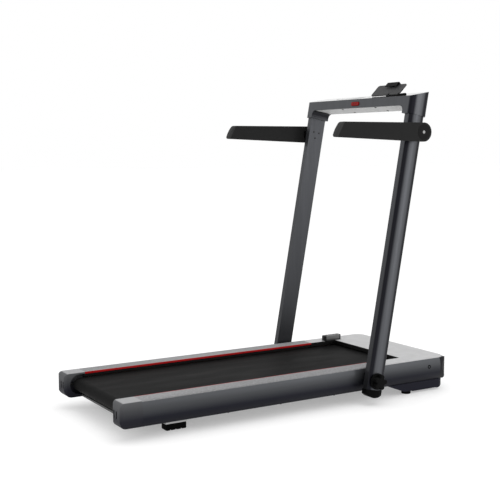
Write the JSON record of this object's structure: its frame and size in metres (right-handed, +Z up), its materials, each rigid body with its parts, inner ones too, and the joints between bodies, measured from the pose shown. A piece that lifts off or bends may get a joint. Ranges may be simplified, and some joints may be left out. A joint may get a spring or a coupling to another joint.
{
  "type": "folding treadmill",
  "caption": "Low folding home treadmill with a wide flat deck, leaning uprights, slim console bar, folding armrests and a tilting phone holder.",
  "frame": {"origin": "on the floor, in the middle of the length and width", "axes": "+X forward to the motor end, +Y to the walker's left, +Z up"},
  "size_m": [1.435, 0.7678, 1.2245],
  "materials": {
    "rail_metal": "dark satin, anodised",
    "post_metal": "dark satin, anodised",
    "strip_plastic": "fine raised texture",
    "trim_red": "satin",
    "cap_plastic": "satin moulded",
    "belt_rubber": "fine diamond weave",
    "board_wood": "phenolic faced fibreboard",
    "frame_steel": "powder coat",
    "bright_steel": "turned",
    "black_plastic": "fine spark texture",
    "hood_plastic": "satin moulded",
    "rubber": "matt",
    "motor_body": "painted",
    "console_plastic": "satin moulded",
    "cover_plastic": "satin moulded",
    "panel_gloss": "polished",
    "key_red": "satin",
    "arm_plastic": "matt soft touch",
    "arm_skin": "fine grain",
    "screw_black": "black zinc",
    "board_green": "circuit board"
  },
  "bodies": {
    "deck": {"controller_box": "black_plastic", "deck_cushions": "rubber", "drive_belt": "rubber", "drive_motor": "motor_body", "front_bumper": "cap_plastic", "front_feet": "rubber", "left_foot_strip": "strip_plastic", "left_rear_cap": "cap_plastic", "left_side_rail": "rail_metal", "lower_housing": "black_plastic", "motor_bracket": "frame_steel", "motor_hood": "hood_plastic", "pivot_brackets": "frame_steel", "power_inlet": "black_plastic", "rear_cross_member": "frame_steel", "rear_feet": "rubber", "rear_foot_brackets": "frame_steel", "red_trims": "trim_red", "right_foot_strip": "strip_plastic", "right_rear_cap": "cap_plastic", "right_side_rail": "rail_metal", "roller_axles": "bright_steel", "running_belt": "belt_rubber", "running_board": "board_wood", "support_cross_members": "frame_steel", "tension_bolts": "bright_steel", "wheel_axles": "bright_steel"},
    "front_roller": {"front_roller": "bright_steel", "front_roller_bearings": "bright_steel", "roller_pulley": "black_plastic"},
    "rear_roller": {"rear_roller": "bright_steel", "rear_roller_bearings": "bright_steel"},
    "motor_rotor": {"motor_pulley": "bright_steel"},
    "left_wheel": {"left_transport_wheel": "rubber"},
    "right_wheel": {"right_transport_wheel": "rubber"},
    "power_switch": {"power_rocker": "key_red"},
    "left_knob": {"left_lock_knob": "black_plastic"},
    "right_knob": {"right_lock_knob": "black_plastic"},
    "upright_frame": {"left_post": "post_metal", "right_post": "post_metal", "post_end_caps": "rubber", "console_frame": "console_plastic", "console_top_panel": "panel_gloss", "console_underside_cover": "cover_plastic", "console_screws": "screw_black", "display_board": "board_green", "safety_key_socket": "black_plastic", "phone_holder_base": "black_plastic", "armrest_hubs": "black_plastic", "armrest_hub_screws": "screw_black"},
    "key": {"safety_key": "key_red"},
    "holder_plate": {"phone_plate": "console_plastic"},
    "holder_clip": {"phone_clip": "black_plastic"},
    "left_arm": {"left_armrest": "arm_plastic", "left_armrest_skin": "arm_skin", "left_armrest_disc": "arm_plastic"},
    "right_arm": {"right_armrest": "arm_plastic", "right_armrest_skin": "arm_skin", "right_armrest_disc": "arm_plastic"},
    "remote": {"remote_control": "cap_plastic"}
  },
  "joints": [
    {"name": "front_roller_spin", "type": "hinge", "parent": "deck", "child": "front_roller", "pos_m": [0.5505, 0, 0.092], "axis": [0, 1, 0], "continuous": true},
    {"name": "rear_roller_spin", "type": "hinge", "parent": "deck", "child": "rear_roller", "pos_m": [-0.6595, 0, 0.092], "axis": [0, 1, 0], "continuous": true},
    {"name": "motor_spin", "type": "hinge", "parent": "deck", "child": "motor_rotor", "pos_m": [0.6345, 0, 0.062], "axis": [0, 1, 0], "continuous": true},
    {"name": "left_wheel_spin", "type": "hinge", "parent": "deck", "child": "left_wheel", "pos_m": [0.6585, 0.225, 0.022], "axis": [0, 1, 0], "continuous": true},
    {"name": "right_wheel_spin", "type": "hinge", "parent": "deck", "child": "right_wheel", "pos_m": [0.6585, -0.225, 0.022], "axis": [0, 1, 0], "continuous": true},
    {"name": "power_rock", "type": "hinge", "parent": "deck", "child": "power_switch", "pos_m": [0.7065, 0.158, 0.084], "axis": [0, 1, 0], "range_deg": [0, 14]},
    {"name": "left_knob_turn", "type": "hinge", "parent": "deck", "child": "left_knob", "pos_m": [0.309, 0.34, 0.092], "axis": [0, 1, 0], "range_deg": [0, 720]},
    {"name": "right_knob_turn", "type": "hinge", "parent": "deck", "child": "right_knob", "pos_m": [0.309, -0.34, 0.092], "axis": [0, -1, 0], "range_deg": [0, 720]},
    {"name": "upright_fold", "type": "hinge", "parent": "deck", "child": "upright_frame", "pos_m": [0.309, 0, 0.092], "axis": [0, -1, 0], "range_deg": [0, 100.2]},
    {"name": "key_pull", "type": "slide", "parent": "upright_frame", "child": "key", "axis": [-0.9842, 0, 0.1771], "range_m": [0, 0.025]},
    {"name": "holder_tilt", "type": "hinge", "parent": "upright_frame", "child": "holder_plate", "pos_m": [0.50171, 0, 1.17374], "axis": [0, 1, 0], "range_deg": [-50, 22]},
    {"name": "clip_slide", "type": "slide", "parent": "holder_plate", "child": "holder_clip", "axis": [0.7071, 0, 0.7071], "range_m": [0, 0.02], "stiffness_N_per_m": 150, "springref_m": -0.01},
    {"name": "left_armrest_fold", "type": "hinge", "parent": "upright_frame", "child": "left_arm", "pos_m": [0.47693, 0.37, 1.02531], "axis": [0, -1, 0], "range_deg": [0, 80]},
    {"name": "right_armrest_fold", "type": "hinge", "parent": "upright_frame", "child": "right_arm", "pos_m": [0.47693, -0.37, 1.02531], "axis": [0, -1, 0], "range_deg": [0, 80]},
    {"name": "remote_lift", "type": "slide", "parent": "deck", "child": "remote", "axis": [0, 0, 1], "range_m": [0, 0.04]}
  ],
  "couplings": [
    {"joint": "rear_roller_spin", "follows": "front_roller_spin", "ratio": 1},
    {"joint": "motor_spin", "follows": "front_roller_spin", "ratio": 2}
  ]
}
